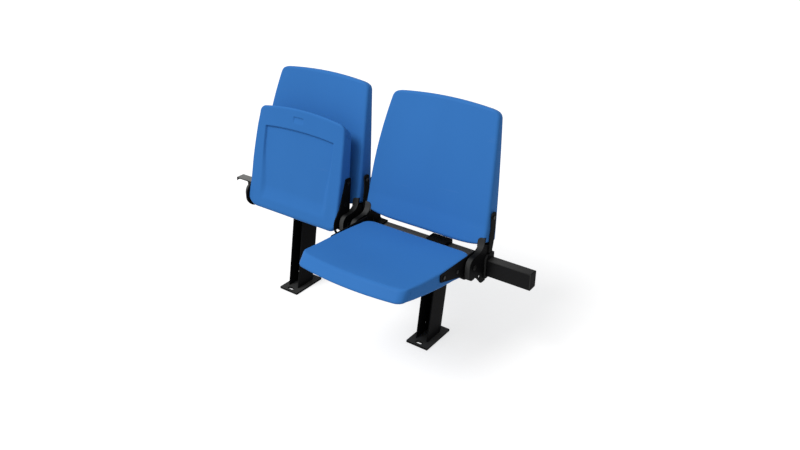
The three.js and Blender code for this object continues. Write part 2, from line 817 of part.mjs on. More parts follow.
// Room of the sunk panel under the pan, which fades out towards the heel, grown by a skin
function panelRoom(skin) {
  const slope = Math.atan((pan_nose_rise - pan_heel_rise) / (pan_nose_reach - pan_heel_reach));
  const tilt = Math.atan(panel_depth / (panel_middle_end - panel_fade));
  const wide = panel_half_width + skin;
  const ring = outline([
    [-wide, -panel_side_end - skin, panel_corner],
    [0, -panel_middle_end * 2 + panel_side_end - skin, wide],
    [wide, -panel_side_end - skin, panel_corner],
    [wide, -panel_fade + skin, 0],
    [-wide, -panel_fade + skin, 0],
  ]);
  const settings = { depth: skin + overrun, bevelEnabled: false, curveSegments: curve_steps };
  const cut = new THREE.ExtrudeGeometry(ring, settings).translate(0, panel_fade, -overrun).rotateX(-tilt);
  cut.translate(0, pan_heel_reach - panel_fade, 0).rotateX(-slope).translate(0, -pan_heel_reach, pan_heel_rise);
  return solidOf(cut);
}

function screwPlaces() {
  return [[-front_screw_reach, front_screw_rise], [-rear_screw_reach, rear_screw_rise]];
}

function pan() {
  let body = panForm(0).subtract(panForm(pan_wall).subtract(panelRoom(pan_wall))).subtract(panelRoom(0));
  [-1, 1].forEach((side) => {
    const span = [side * (pan_half_width - pan_wall * 2), side * (pan_half_width + overrun)];
    body = body.subtract(bar("x", pan_pocket_radius, span, [0, 0]));
    screwPlaces().forEach((at) => {
      body = body.subtract(bar("x", screw_radius + seat_gap, span, at, small_sides));
    });
  });
  return body;
}

// Hinge plate: a disc on the pin with a curved slot for the stop stud, and an arm along the pan's side
function hingeOutline() {
  const turn = (degrees) => {
    const angle = THREE.MathUtils.degToRad(degrees);
    return [-hinge_disc_radius * Math.cos(angle), hinge_disc_radius * Math.sin(angle)];
  };
  const shape = new THREE.Shape();
  const rim = [];
  const top_angle = THREE.MathUtils.radToDeg(Math.asin(hinge_top / hinge_disc_radius));
  const sweep = 180 - hinge_disc_start + top_angle;
  for (let i = 0; i <= disc_steps; i += 1) rim.push(turn(-hinge_disc_start - (sweep * i) / disc_steps));
  shape.moveTo(-hinge_waist_reach, -hinge_waist_drop);
  shape.lineTo(...rim[0]);
  rim.slice(1).forEach((point) => shape.lineTo(...point));
  shape.lineTo(0, hinge_top);
  shape.lineTo(-hinge_reach + hinge_corner, hinge_end_top);
  shape.quadraticCurveTo(-hinge_reach, hinge_end_top, -hinge_reach, hinge_end_top - hinge_corner);
  shape.lineTo(-hinge_reach, hinge_end_bottom + hinge_corner);
  shape.quadraticCurveTo(-hinge_reach, hinge_end_bottom, -hinge_reach + hinge_corner, hinge_end_bottom);
  shape.closePath();
  return shape;
}

// The stud's slot in the hinge plate, from its place when the pan is down to when it is up
function notchOutline() {
  const room = THREE.MathUtils.radToDeg(Math.asin((stud_radius + seat_gap * 2) / stud_orbit));
  const from = THREE.MathUtils.degToRad(stud_angle + room);
  const to = THREE.MathUtils.degToRad(stud_angle - tip_angle - room);
  const shape = new THREE.Shape();
  const near = stud_orbit - stud_radius - seat_gap * 2;
  const far = stud_orbit + stud_radius + seat_gap * 2;
  const angles = Array.from({ length: notch_steps + 1 }, (_, i) => from + ((to - from) * i) / notch_steps);
  angles.forEach((angle, i) => {
    const point = [-near * Math.cos(angle), near * Math.sin(angle)];
    if (i === 0) shape.moveTo(...point);
    else shape.lineTo(...point);
  });
  angles.reverse().forEach((angle) => shape.lineTo(-far * Math.cos(angle), far * Math.sin(angle)));
  shape.closePath();
  return shape;
}

function hingePlate(side) {
  const span = [side * hinge_inner, side * hinge_outer];
  const wide = [side * (hinge_inner - overrun), side * (hinge_outer + overrun)];
  const body = sheet(hingeOutline(), span)
    .subtract(sheet(notchOutline(), wide))
    .subtract(bar("x", bush_radius + seat_gap, wide, [0, 0]));
  return screwPlaces().reduce((made, at) => {
    return made.subtract(bar("x", screw_radius + seat_gap, wide, at, small_sides));
  }, body);
}

function bush(side) {
  const flange = [side * (hinge_outer + seat_gap / 2), side * (hinge_outer + bush_flange)];
  const sleeve = [side * hinge_inner, side * (hinge_outer + bush_flange / 2)];
  const through = [side * (hinge_inner - overrun), side * (arm_inner + overrun)];
  return bar("x", bush_flange_radius, flange, [0, 0])
    .add(bar("x", bush_radius, sleeve, [0, 0]))
    .subtract(bar("x", pin_radius + running_clearance, through, [0, 0], pin_sides));
}

// Screw along X with its head outside a plate whose outer face is given
function sideScrew(side, face, at) {
  const head = side * (face + seat_gap);
  const length = [head - side * screw_length, head + (side * screw_head) / 2];
  const shank = bar("x", screw_radius, length, at, small_sides);
  return shank.add(bar("x", screw_head_radius, [head, head + side * screw_head], at, small_sides));
}

// Half-width of the backrest at a height share, through its bottom, middle and top values
function backHalfWidth(share) {
  const low = back_bottom_half_width * (1 - share) * (1 - 2 * share);
  const middle = back_middle_half_width * 4 * share * (1 - share);
  const high = back_top_half_width * share * (2 * share - 1);
  return low + middle + high;
}

// Backrest body: level slices stacked up the raked back, rounded at every edge
function backForm(skin) {
  const edge = Math.max(back_edge - skin, back_edge / 4);
  const corner = back_corner - skin;
  const heights = [];
  const endAt = (angle) => skin + corner * (1 - Math.sin(THREE.MathUtils.degToRad(angle)));
  back_end_angles.forEach((angle) => heights.push(endAt(angle)));
  for (let i = 0; i <= back_rows; i += 1) {
    heights.push(back_corner + ((back_height - back_corner * 2) * i) / back_rows);
  }
  [...back_end_angles].reverse().forEach((angle) => heights.push(back_height - endAt(angle)));
  const rings = heights.map((height) => {
    const share = height / back_height;
    const from_end = Math.min(height - skin, back_height - skin - height);
    const half = backHalfWidth(share) - skin - cornerLoss(Math.max(corner - from_end, 0), corner);
    const depth = back_bottom_depth * (1 - share) + back_top_depth * share;
    const inset = edgeInset(from_end, edge);
    return backSlice(half, depth, skin + inset, edge).map(([x, d]) => backPoint(x, d, height, half));
  });
  return skinOver(rings, rings[0].length - slice_corner_angles.length * 2 - 1);
}

// Slice of the backrest: a rounded rectangle of half-width and depth, front edge first
function backSlice(half, depth, inset, edge) {
  const wide = half - (inset > 0 ? Math.min(inset, half / 2) : 0);
  const points = [];
  const round = slice_corner_angles.map((angle) => THREE.MathUtils.degToRad(angle));
  const across = Array.from({ length: back_slice_steps - 1 }, (_, i) => (2 * (i + 1)) / back_slice_steps - 1);
  const [flat, near, far] = [wide - edge, inset + edge, depth - inset - edge];
  across.forEach((share) => points.push([flat * share, inset]));
  round.forEach((a) => points.push([flat + edge * Math.sin(a), near - edge * Math.cos(a)]));
  round.forEach((a) => points.push([flat + edge * Math.cos(a), far + edge * Math.sin(a)]));
  across.forEach((share) => points.push([-flat * share, depth - inset]));
  round.forEach((a) => points.push([-flat - edge * Math.sin(a), far + edge * Math.cos(a)]));
  round.forEach((a) => points.push([-flat - edge * Math.cos(a), near - edge * Math.sin(a)]));
  return points;
}

// A slice point in the seat: arched at both ends, bowed forwards over its height, hollowed across
function backPoint(x, d, height, half) {
  const share = height / back_height;
  const off = Math.min(Math.abs(x / half), 1);
  const across = 1 - off ** 2;
  const high = back_top_arch * across * Math.max(2 * share - 1, 0);
  const low = back_bottom_arch * (1 - off ** 4) * Math.max(1 - 2 * share, 0);
  const up = height + high - low;
  const forward = back_bow * 4 * share * (1 - share);
  const out = d - forward;
  const y = back_ahead + up * Math.sin(back_lean) + out * Math.cos(back_lean) + back_hollow * across;
  const z = back_above + up * Math.cos(back_lean) - out * Math.sin(back_lean);
  return new THREE.Vector3(x, y, z);
}

function backrest() {
  let body = backForm(0).subtract(backForm(back_wall));
  [-1, 1].forEach((side) => {
    const outside = back_bottom_half_width + overrun;
    const span = [side * (outside - screw_length * 2), side * outside];
    const at = [back_screw_setback, back_screw_rise];
    body = body.subtract(bar("x", screw_radius + seat_gap, span, at, small_sides));
  });
  return body;
}

function seatParts(name, x, tipped) {
  const seat = new THREE.Group();
  seat.position.set(x, pivot_y, pivot_z);
  const swing = new THREE.Group();
  swing.rotation.x = tipped ? -THREE.MathUtils.degToRad(tip_angle) : 0;
  seat.add(swing);
  place(seat, `${name}_backrest`, geometryOf(backrest()), "blue");
  place(swing, `${name}_pan`, geometryOf(pan()), "blue");
  [["left", -1], ["right", 1]].forEach(([hand, side]) => {
    place(seat, `${name}_${hand}_arm`, geometryOf(arm(side)), "bracket");
    place(seat, `${name}_${hand}_keeper`, geometryOf(keeper(side)), "steel");
    place(seat, `${name}_${hand}_keeper_bolt`, geometryOf(keeperBolt(side)), "zinc");
    place(seat, `${name}_${hand}_pivot_pin`, geometryOf(pivotPin(side)), "zinc");
    place(seat, `${name}_${hand}_stop_stud`, geometryOf(stopStud(side)), "zinc");
    const back_screw = sideScrew(side, arm_outer + cheek_proud, [back_screw_setback, back_screw_rise]);
    place(seat, `${name}_${hand}_backrest_screw`, geometryOf(back_screw), "zinc");
    place(swing, `${name}_${hand}_hinge_plate`, geometryOf(hingePlate(side)), "steel");
    place(swing, `${name}_${hand}_bush`, geometryOf(bush(side)), "nylon");
    screwPlaces().forEach((at, i) => {
      const screw = geometryOf(sideScrew(side, hinge_outer, at));
      place(swing, `${name}_${hand}_pan_screw_${i + 1}`, screw, "zinc");
    });
  });
  unit.add(seat);
}

standParts();
seatParts("left_seat", -seat_pitch / 2, true);
seatParts("right_seat", seat_pitch / 2, false);

// The unit stands with the middle of its footprint on the origin
const stood = new THREE.Group();
stood.add(unit);
stood.updateMatrixWorld(true);
const reach = new THREE.Box3().setFromObject(stood, true);
unit.position.y = -(reach.min.y + reach.max.y) / 2;

export default stood;
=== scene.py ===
"""Two tip-up stadium seats on a shared box beam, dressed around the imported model.

Metres, Z up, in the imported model's frame: the beam runs along X, the seats face -Y and the floor is
Z = 0. Shells are grids worked out from formulas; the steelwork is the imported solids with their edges
rounded; every finish is a small node recipe.
"""

import json
import math

import bmesh
import bpy
import numpy as np
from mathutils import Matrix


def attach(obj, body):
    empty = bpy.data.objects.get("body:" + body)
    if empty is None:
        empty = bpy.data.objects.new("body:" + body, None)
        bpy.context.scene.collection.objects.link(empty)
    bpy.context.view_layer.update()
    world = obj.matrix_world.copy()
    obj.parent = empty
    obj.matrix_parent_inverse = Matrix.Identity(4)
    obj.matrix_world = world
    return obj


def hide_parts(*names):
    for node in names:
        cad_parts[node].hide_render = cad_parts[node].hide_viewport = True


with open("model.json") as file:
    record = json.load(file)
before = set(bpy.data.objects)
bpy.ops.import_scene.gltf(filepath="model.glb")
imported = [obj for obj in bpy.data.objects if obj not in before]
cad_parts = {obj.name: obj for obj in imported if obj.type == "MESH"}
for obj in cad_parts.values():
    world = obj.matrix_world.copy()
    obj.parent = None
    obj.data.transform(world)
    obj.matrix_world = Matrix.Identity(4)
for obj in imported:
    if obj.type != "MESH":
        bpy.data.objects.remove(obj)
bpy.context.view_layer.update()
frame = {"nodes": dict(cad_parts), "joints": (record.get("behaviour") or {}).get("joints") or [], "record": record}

# Camera, fitted to the photograph
CAMERA_PLACE = (1.5362, -1.7605, 1.6048)
CAMERA_AZIMUTH = 35.8
CAMERA_ELEVATION = 27.2
CAMERA_LENS = 33.6
CAMERA_SENSOR = 36.0

# Stage: floor, levels of the world, and the key lamp
FLOOR_REACH = 30.0
FLOOR_GREY = 0.50
FLOOR_GLOW = 0.62
WORLD_FILL = 0.54
WORLD_SHOWN = 1.0
KEY_DIRECTION = (-0.30, -0.58, 0.76)
KEY_SPREAD = 30.0
KEY_STRENGTH = 2.08

# Seat places: the joints give each seat's middle, pivot depth and pivot height
SEATS = {}
for joint in frame["joints"]:
    SEATS[joint["child"].replace("_pan", "_seat")] = joint
TIP_ANGLE = 94.5

# Pan, as reach ahead of the pivot and rise above it
PAN_HALF_WIDTH = 0.2185
PAN_FRONT_HALF_WIDTH = 0.2085
PAN_NOSE = (0.374, 0.022)
PAN_FRONT = (0.342, 0.0605)
PAN_TAIL = (-0.038, 0.026)
PAN_HEEL = (-0.037, -0.0435)
PAN_NOSE_RADIUS = 0.014
PAN_FRONT_RADIUS = 0.010
PAN_TAIL_RADIUS = 0.014
PAN_HEEL_RADIUS = 0.022
PAN_EDGE = 0.008
PAN_CORNER = 0.027
PAN_CORNER_RUN = 0.090
PAN_HEEL_CORNER = 0.038
PAN_HEEL_RUN = 0.130
PAN_BOW = 0.020
PAN_DISH = 0.007
PAN_TAPER_START = 0.150

# Panel and number place sunk into the pan's underside, as distance from the heel
PANEL_HALF_WIDTH = 0.168
PANEL_LOW = 0.035
PANEL_HIGH = 0.335
PANEL_BOW = 0.002
PANEL_CORNER = 0.006
PANEL_DEPTH = 0.0084
PANEL_RAMP = 0.0065
PANEL_SPREAD = 0.021
PANEL_SPREAD_SPAN = (0.085, 0.275)
PANEL_FADE = (0.030, 0.100)
MARK_MIDDLE = (-0.007, 0.369)
MARK_HALF = (0.025, 0.0135)
MARK_DEPTH = 0.0032
MARK_RAMP = 0.0026

# Backrest, in its own rake: up it and back through its thickness
BACK_HEIGHT = 0.434
BACK_RAKE = 16.0
BACK_HALF_WIDTHS = (0.247, 0.2355, 0.2065)
BACK_DEPTHS = (0.076, 0.032)
BACK_BOW = 0.012
BACK_HOLLOW = 0.008
BACK_TOP_ARCH = 0.0085
BACK_BOTTOM_ARCH = 0.018
BACK_BOTTOM_ARCH_POWER = 5
BACK_CORNER = 0.025
BACK_FOOT_CORNER = 0.016
BACK_EDGE = 0.011
BACK_AHEAD = 0.064
BACK_ABOVE = 0.054
BACK_KICK_HEIGHT = 0.060
BACK_KICK_SLOPE = 0.10
BACK_KICK_SOFTNESS = 0.006

# Depth over which the brackets pass behind the beam's top, where their painted highlight gives way to painted
# shade
BEHIND_BEAM = (0.150, 0.158)

# Grid densities
LONG_STEPS = 180
ACROSS_STEPS = 180
CURVE_STEPS = 10
ROUND_STEPS = 6
BACK_ACROSS_STEPS = 60
BACK_UP_STEPS = 70
BACK_CORNER_STEPS = 18

# Limits of the formulas: the most of a side that a corner may take, the end of a quarter circle short of
# its upright tangent, and how level a profile's line is to count as the top or the underside
CORNER_SIDE_SHARE = 0.49
QUARTER_CIRCLE_END = 0.999
LEVEL_LINE = 0.9


# Shader recipes

class Value:
    """A socket of a recipe. Arithmetic on it adds Math nodes."""

    def __init__(self, recipe, socket):
        self.recipe = recipe
        self.socket = socket

    def math(self, operation, first, second):
        return self.recipe.node("ShaderNodeMath", {"operation": operation}, {0: first, 1: second})

    def __add__(self, other):
        return self.math("ADD", self, other)

    def __rsub__(self, other):
        return self.math("SUBTRACT", other, self)

    def __mul__(self, other):
        return self.math("MULTIPLY", self, other)

    __radd__ = __add__
    __rmul__ = __mul__


class Recipe:
    """One material's node tree around a Principled shader."""

    def __init__(self, name, **constants):
        self.material = bpy.data.materials.new(name)
        self.material.use_nodes = True
        self.tree = self.material.node_tree
        self.shader = self.tree.nodes["Principled BSDF"]
        for socket, value in constants.items():
            self.shader.inputs[socket.replace("_", " ")].default_value = value

    def node(self, kind, settings=None, inputs=None, output=0):
        """Adds one node: its settings first, then the values or links of its sockets."""
        made = self.tree.nodes.new(kind)
        for key, value in (settings or {}).items():
            setattr(made, key, value)
        for key, value in (inputs or {}).items():
            if isinstance(value, Value):
                self.tree.links.new(value.socket, made.inputs[key])
            else:
                made.inputs[key].default_value = value
        return Value(self, made.outputs[output])

    def place(self, scale=(1, 1, 1)):
        """Object coordinates, stretched by a scale."""
        here = self.node("ShaderNodeTexCoord", output="Object")
        return self.node("ShaderNodeMapping", {}, {"Vector": here, "Scale": scale})

    def noise(self, scale, detail=3.0, stretch=(1, 1, 1)):
        """Grey noise between 0 and 1 with features about one over its scale across."""
        inputs = {"Vector": self.place(stretch), "Scale": scale, "Detail": detail}
        return self.node("ShaderNodeTexNoise", {}, inputs)

    def cells(self, scale):
        """Distance to the nearest of scattered points, for pitted and pebbled skins."""
        return self.node("ShaderNodeTexVoronoi", {}, {"Vector": self.place(), "Scale": scale})

    def along(self, axis):
        """Place along one axis in metres."""
        return self.node("ShaderNodeSeparateXYZ", {}, {0: self.place()}, output=axis)

    def ramp(self, value, low, high):
        """Rises from 0 to 1 as the value goes from low to high."""
        inputs = {0: value, 1: low, 2: high, 3: 0.0, 4: 1.0}
        return self.node("ShaderNodeMapRange", {"interpolation_type": "SMOOTHSTEP"}, inputs)

    def mix(self, share, first, second):
        """Colour between two colours."""
        settings = {"data_type": "RGBA"}
        return self.node("ShaderNodeMix", settings, {0: share, 6: first, 7: second}, output=2)

    def facing(self, direction):
        """How far the surface faces a direction: 1 straight at it, -1 straight away."""
        normal = self.node("ShaderNodeNewGeometry", output="Normal")
        inputs = {0: normal, 1: direction}
        return self.node("ShaderNodeVectorMath", {"operation": "DOT_PRODUCT"}, inputs, output=1)

    def bump(self, height, distance, strength=1.0):
        """Raises the skin by a height of 0 to 1 times a distance in metres."""
        inputs = {"Height": height, "Distance": distance, "Strength": strength}
        self.feed("Normal", self.node("ShaderNodeBump", {}, inputs))

    def feed(self, socket, value):
        """Drives one of the Principled shader's sockets."""
        self.tree.links.new(value.socket, self.shader.inputs[socket])


def shade(colour, level):
    """A colour made lighter or darker, with full alpha."""
    return tuple(min(part * level, 1.0) for part in colour) + (1.0,)


def moulded_shell():
    """Blue blow-moulded shell: satin, finely grained, with faint flow marks and scuffs."""
    blue = (0.037, 0.167, 0.470)
    recipe = Recipe("blue_moulded_shell", IOR=1.09)
    flow = recipe.noise(5.0, 2.0, (1.0, 1.0, 0.45))
    speck = recipe.noise(260.0, 4.0)
    scuff = recipe.ramp(recipe.noise(38.0, 6.0, (0.25, 1.0, 1.6)), 0.64, 0.76)
    grain = recipe.cells(1500.0)
    body = recipe.mix(flow, shade(blue, 0.95), shade(blue, 1.05))
    body = recipe.mix(speck * 0.08, body, shade(blue, 1.2))
    body = recipe.mix(scuff * 0.02, body, (0.30, 0.42, 0.62, 1.0))
    recipe.feed("Base Color", body)
    recipe.feed("Roughness", flow * 0.08 + speck * 0.05 + scuff * 0.06 + 0.36)
    recipe.bump(grain * 0.6 + speck * 0.4, 0.00010, 0.35)
    return recipe.material


def powder_coat(name, dusty, gloss, left_sheen=0.0):
    """Black powder coat on steel: orange-peel skin, and dust where it faces up.

    The last argument adds a painted sheen: how much lighter the up-facing faces grow towards the left end of the
    unit than in its middle.
    """
    black = (0.0070, 0.0070, 0.0074)
    recipe = Recipe(name, IOR=gloss)
    peel = recipe.noise(420.0, 2.0)
    cloud = recipe.noise(14.0, 4.0)
    dust_and_sheen = recipe.ramp(recipe.facing((0.0, 0.0, 1.0)), 0.55, 1.0) * (cloud * 0.5 + 0.75)
    # Painted sheen: the up-facing faces grow lighter towards the left end of the unit.
    dust_and_sheen = dust_and_sheen * (1.0 - recipe.along(0) * left_sheen)
    rub = recipe.ramp(recipe.noise(75.0, 6.0, (1.0, 1.0, 0.4)), 0.68, 0.80)
    body = recipe.mix(cloud * 0.5, shade(black, 0.85), shade(black, 1.3))
    body = recipe.mix(dust_and_sheen * dusty, body, (0.30, 0.30, 0.29, 1.0))
    body = recipe.mix(rub * 0.06, body, (0.06, 0.06, 0.06, 1.0))
    recipe.feed("Base Color", body)
    recipe.feed("Roughness", cloud * 0.12 + dust_and_sheen * 0.12 + rub * 0.10 + 0.34)
    recipe.bump(peel, 0.00016, 0.40)
    return recipe.material


def filled_nylon():
    """Black glass-filled moulding of the brackets, with a painted highlight in grey on its edges and fronts.

    The painted highlight fades to the right along the unit, and behind the beam it gives way to painted shade.
    """
    black = (0.0040, 0.0040, 0.0043)
    recipe = Recipe("black_filled_nylon", IOR=1.06)
    cloud = recipe.noise(30.0, 4.0)
    speck = recipe.noise(900.0, 3.0)
    fibre = recipe.noise(210.0, 5.0, (1.0, 0.22, 1.0))
    # Painted highlight on faces that look forward and up, stronger to the left; behind the beam it gives way to
    # painted shade.
    painted_light = recipe.ramp(recipe.facing((0.0, -0.96, 0.28)), 0.20, 0.95) * (cloud * 0.4 + 0.8)
    painted_light = painted_light * (0.9 - recipe.along(0) * 0.5)
    painted_light = painted_light * (1.0 - recipe.ramp(recipe.along(1), *BEHIND_BEAM) * 0.7)
    body = recipe.mix(cloud * 0.6, shade(black, 0.9), shade(black, 1.6))
    body = recipe.mix(painted_light * 0.9, body, (0.066, 0.067, 0.066, 1.0))
    body = recipe.mix(recipe.ramp(fibre, 0.60, 0.75) * 0.06, body, (0.05, 0.05, 0.05, 1.0))
    recipe.feed("Base Color", body)
    recipe.feed("Roughness", cloud * 0.14 + speck * 0.06 + 0.32)
    recipe.bump(speck * 0.6 + fibre * 0.4, 0.00010, 0.35)
    return recipe.material


def zinc_plate():
    """Dark zinc-plated steel: turned marks, small stains."""
    recipe = Recipe("dark_zinc_plate")
    turned = recipe.noise(900.0, 2.0, (8.0, 1.0, 1.0))
    stain = recipe.noise(120.0, 5.0)
    body = recipe.mix(stain, (0.16, 0.16, 0.165, 1.0), (0.30, 0.30, 0.30, 1.0))
    recipe.feed("Base Color", body)
    recipe.feed("Metallic", recipe.ramp(stain, 0.2, 0.5) * 0.15 + 0.80)
    recipe.feed("Roughness", turned * 0.12 + stain * 0.16 + 0.24)
    recipe.bump(turned, 0.00005, 0.30)
    return recipe.material


def black_oxide():
    """Blackened screws: nearly black, rubbed bright in places."""
    recipe = Recipe("black_oxide_screw", IOR=1.20)
    rub = recipe.noise(320.0, 5.0)
    bare = recipe.ramp(rub, 0.58, 0.70) * 0.5
    body = recipe.mix(bare, (0.008, 0.008, 0.008, 1.0), (0.05, 0.05, 0.05, 1.0))
    recipe.feed("Base Color", body)
    recipe.feed("Metallic", recipe.ramp(rub, 0.50, 0.70) * 0.4 + 0.1)
    recipe.feed("Roughness", rub * 0.2 + 0.28)
    return recipe.material


def plain_nylon():
    """Grey bearing nylon of the bushes, slightly mottled."""
    recipe = Recipe("grey_bearing_nylon")
    cloud = recipe.noise(160.0, 4.0)
    recipe.feed("Base Color", recipe.mix(cloud, (0.20, 0.20, 0.19, 1.0), (0.30, 0.30, 0.29, 1.0)))
    recipe.feed("Roughness", cloud * 0.15 + 0.36)
    recipe.bump(cloud, 0.00005, 0.30)
    return recipe.material


SHELL = moulded_shell()
COAT = powder_coat("black_powder_coat", 0.12, 1.07)
CLAMP_COAT = powder_coat("clean_black_powder_coat", 0.0, 1.05)
# The beam's coat carries a painted sheen that grows towards the left end.
BEAM_COAT = powder_coat("dusty_black_powder_coat_painted_sheen", 0.31, 1.16, 1.40)
BRACKET = filled_nylon()
ZINC = zinc_plate()
OXIDE = black_oxide()
NYLON = plain_nylon()


# Mesh makers

def piece_of(name, mesh, material, body):
    """Puts a finished mesh into the scene as a piece that rides on a body."""
    piece = bpy.data.objects.new(name, mesh)
    bpy.context.scene.collection.objects.link(piece)
    mesh.materials.clear()
    mesh.materials.append(material)
    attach(piece, body)
    return piece


def skin_mesh(name, grid, facing_sum):
    """Mesh over a grid of closed rings, given as rows x points x 3.

    Neighbouring rings are joined by quads. Each end ring is closed by strips between points that face
    each other: the places of two facing points in the ring add up to facing_sum.
    """
    rows, count = grid.shape[:2]
    here = np.arange(count)
    ahead = (here + 1) % count
    base = (np.arange(rows - 1) * count)[:, None]
    sides = np.stack([base + here, base + ahead, base + count + ahead, base + count + here], axis=-1)
    first = np.arange(-(count - facing_sum - 1) // 2, (facing_sum - 1) // 2)
    strip = np.stack([first, first + 1, facing_sum - first - 1, facing_sum - first], axis=-1) % count
    low_cap = strip[:, ::-1]
    high_cap = strip + (rows - 1) * count
    faces = np.concatenate([sides.reshape(-1, 4), low_cap, high_cap])
    mesh = bpy.data.meshes.new(name)
    mesh.from_pydata(grid.reshape(-1, 3).tolist(), [], faces.tolist())
    mesh.update()
    shape = bmesh.new()
    shape.from_mesh(mesh)
    bmesh.ops.recalc_face_normals(shape, faces=shape.faces)
    shape.to_mesh(mesh)
    shape.free()
    mesh.shade_smooth()
    return mesh


def smooth_step(value, low, high):
    """Cubic ease from 0 at low to 1 at high."""
    share = np.clip((value - low) / (high - low), 0.0, 1.0)
    return share * share * (3.0 - 2.0 * share)


def corner_loss(into, radius):
    """How far a quarter circle of that radius falls in after going so far into it."""
    part = np.clip(into / radius, 0.0, QUARTER_CIRCLE_END)
    return radius * (1.0 - np.sqrt(1.0 - part * part))


def rounded_box_distance(across, along, half_across, half_along, radius):
    """Signed distance to a rounded rectangle centred on zero: negative inside it."""
    dx = np.abs(across) - half_across + radius
    dy = np.abs(along) - half_along + radius
    outside = np.hypot(np.maximum(dx, 0.0), np.maximum(dy, 0.0))
    return outside + np.minimum(np.maximum(dx, dy), 0.0) - radius


# Backrest

def back_pattern():
    """One level slice, as shares: side (-1 to 1), rounding across, rounding through, front 0 or rear 1.

    It runs along the front, round the right edge, back along the rear and round the left edge.
    """
    across = np.linspace(-1.0, 1.0, BACK_ACROSS_STEPS + 1)[1:-1]
    turn = np.linspace(0.0, np.pi / 2, ROUND_STEPS + 1)
    sine, cosine = np.sin(turn), np.cos(turn)
    flat, one = np.zeros_like(across), np.ones_like(turn)
    side = np.concatenate([across, one, one, -across, -one, -one])
    out = np.concatenate([flat, sine, cosine, flat, -sine, -cosine])
    through = np.concatenate([flat - 1, -cosine, sine, flat + 1, cosine, -sine])
    rear = np.concatenate([flat, one * 0, one, flat + 1, one, one * 0])
    return side, out, through, rear


def backrest_grid(joint):
    """Backrest surface as rows up the rake and points round each level slice.

    Half-width follows a parabola through its bottom, middle and top values, and depth falls evenly
    upwards. Corners lose a quarter circle, the top arches by a square and the foot by a higher power of
    the share across, the whole bows forwards over its height and is hollow across, and the foot kicks
    forwards below a soft crease.
    """
    turn = np.linspace(np.pi / 2, 0.0, BACK_CORNER_STEPS + 1)
    ends = 1.0 - np.sin(turn)
    straight = np.linspace(BACK_FOOT_CORNER, BACK_HEIGHT - BACK_CORNER, BACK_UP_STEPS + 1)[1:-1]
    top = BACK_HEIGHT - BACK_CORNER * ends[::-1]
    height = np.concatenate([BACK_FOOT_CORNER * ends, straight, top])[:, None]
    share = height / BACK_HEIGHT
    low, middle, high = BACK_HALF_WIDTHS
    half = (
        low * (1 - share) * (1 - 2 * share)
        + middle * 4 * share * (1 - share)
        + high * share * (2 * share - 1)
    )
    from_end = np.minimum(height, BACK_HEIGHT - height)
    corner = np.where(share < 0.5, BACK_FOOT_CORNER, BACK_CORNER)
    half = half - corner_loss(np.maximum(corner - from_end, 0.0), corner)
    depth = BACK_DEPTHS[0] * (1 - share) + BACK_DEPTHS[1] * share
    near = np.clip(from_end / BACK_EDGE, 0.0, 1.0)
    inset = BACK_EDGE * (1.0 - np.sqrt(1.0 - (1.0 - near) ** 2))
    side, out, through, rear = back_pattern()
    wide = half - inset - BACK_EDGE
    x = side * wide + out * BACK_EDGE
    front_depth = inset + BACK_EDGE + through * BACK_EDGE
    rear_depth = depth - inset - BACK_EDGE + through * BACK_EDGE
    inward = np.where(rear > 0.5, rear_depth, front_depth)
    off = np.minimum(np.abs(x / half), 1.0)
    middle_share = 1.0 - off**2
    top_arch = BACK_TOP_ARCH * np.maximum(2 * share - 1, 0.0) * middle_share
    belly_share = 1.0 - off**BACK_BOTTOM_ARCH_POWER
    belly = BACK_BOTTOM_ARCH * np.maximum(1 - 2 * share, 0.0) * belly_share
    up = height + top_arch - belly
    below = BACK_KICK_HEIGHT - up
    kick = BACK_KICK_SLOPE * (below + np.hypot(below, BACK_KICK_SOFTNESS)) / 2
    forward = BACK_BOW * 4 * share * (1 - share) + np.where(rear > 0.5, 0.0, kick)
    inward = inward - forward
    lean = math.radians(BACK_RAKE)
    y = BACK_AHEAD + up * math.sin(lean) + inward * math.cos(lean) + BACK_HOLLOW * middle_share
    z = BACK_ABOVE + up * math.cos(lean) - inward * math.sin(lean)
    place = np.array(joint["pos_m"])
    return np.stack([x, y, z], axis=-1) + place


def make_backrest(seat, joint):
    """Blue shell of one backrest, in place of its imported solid. It stands still with the brackets."""
    name = f"{seat}_backrest"
    facing_sum = 2 * (BACK_ACROSS_STEPS - 1) + 2 * (ROUND_STEPS + 1) - 1
    mesh = skin_mesh(f"{name}_shell", backrest_grid(joint), facing_sum)
    piece = piece_of(f"{name}_shell", mesh, SHELL, "stand")
    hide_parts(name)


# Pan

def pan_profile():
    """Side view of the pan as a closed loop of points with unit tangents, starting at the heel.

    Its corners are quadratic curves, and its two long lines have even steps.
    """
    corners = [
        (PAN_HEEL, PAN_HEEL_RADIUS),
        (PAN_NOSE, PAN_NOSE_RADIUS),
        (PAN_FRONT, PAN_FRONT_RADIUS),
        (PAN_TAIL, PAN_TAIL_RADIUS),
    ]
    points = [np.array(corner) for corner, radius in corners]
    starts, ends = [], []
    for i, (corner, radius) in enumerate(corners):
        for neighbour, store in ((points[i - 1], starts), (points[(i + 1) % 4], ends)):
            away = neighbour - points[i]
            length = np.hypot(*away)
            reach = min(radius, length * CORNER_SIDE_SHARE)
            store.append(points[i] + away / length * reach)
    loop = []
    for i, point in enumerate(points):
        t = np.linspace(0.0, 1.0, CURVE_STEPS + 1)[:, None]
        loop.append((1 - t) ** 2 * starts[i] + 2 * t * (1 - t) * point + t * t * ends[i])
        steps = LONG_STEPS if i % 2 == 0 else CURVE_STEPS
        t = np.linspace(0.0, 1.0, steps + 1)[1:-1, None]
        loop.append(ends[i] * (1 - t) + starts[(i + 1) % 4] * t)
    loop = np.concatenate(loop)
    along = np.roll(loop, -1, axis=0) - np.roll(loop, 1, axis=0)
    return loop, along / np.hypot(along[:, 0], along[:, 1])[:, None]


